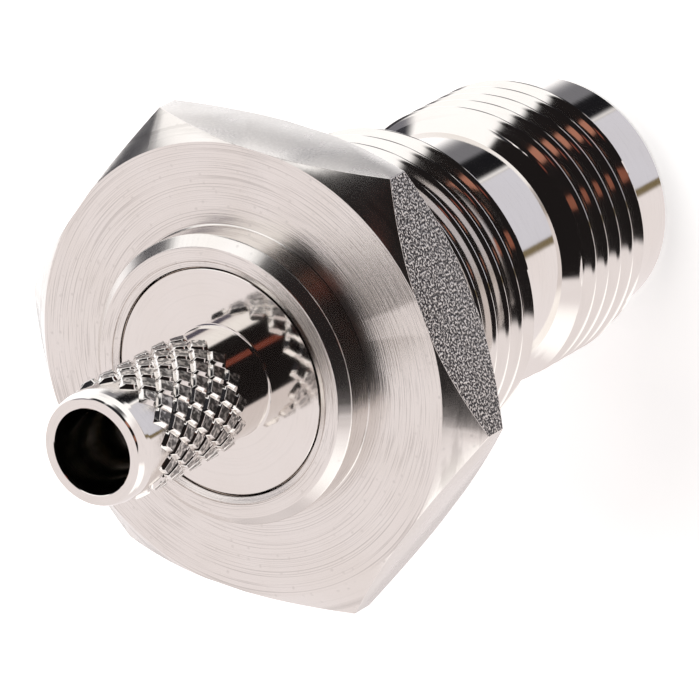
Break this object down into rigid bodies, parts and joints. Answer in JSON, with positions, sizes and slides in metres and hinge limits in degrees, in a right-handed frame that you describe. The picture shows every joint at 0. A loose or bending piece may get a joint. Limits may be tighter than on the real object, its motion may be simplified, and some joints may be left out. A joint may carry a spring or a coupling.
{
  "type": "tnc bulkhead connector",
  "caption": "Coaxial bulkhead jack with a hexagonal panel flange, a panel thread, a threaded mating end and a knurled crimp stem for coaxial cable.",
  "frame": {"origin": "on the axis, in the plane of the flange face that seats on the panel", "axes": "+Z along the axis towards the cable end, so the mating end points down; a corner of the hexagonal flange lies on +X"},
  "size_m": [0.0202, 0.0174, 0.0323],
  "materials": {
    "body_nickel": "bright nickel plating over turned brass",
    "stem_nickel": "bright nickel plating over turned and knurled brass",
    "insulator_ptfe": "white, waxy and matt",
    "contact_gold": "thin gold plating over brass"
  },
  "bodies": {
    "root": {"body": "body_nickel", "crimp_stem": "stem_nickel", "insulator": "insulator_ptfe", "center_contact": "contact_gold"}
  },
  "joints": []
}
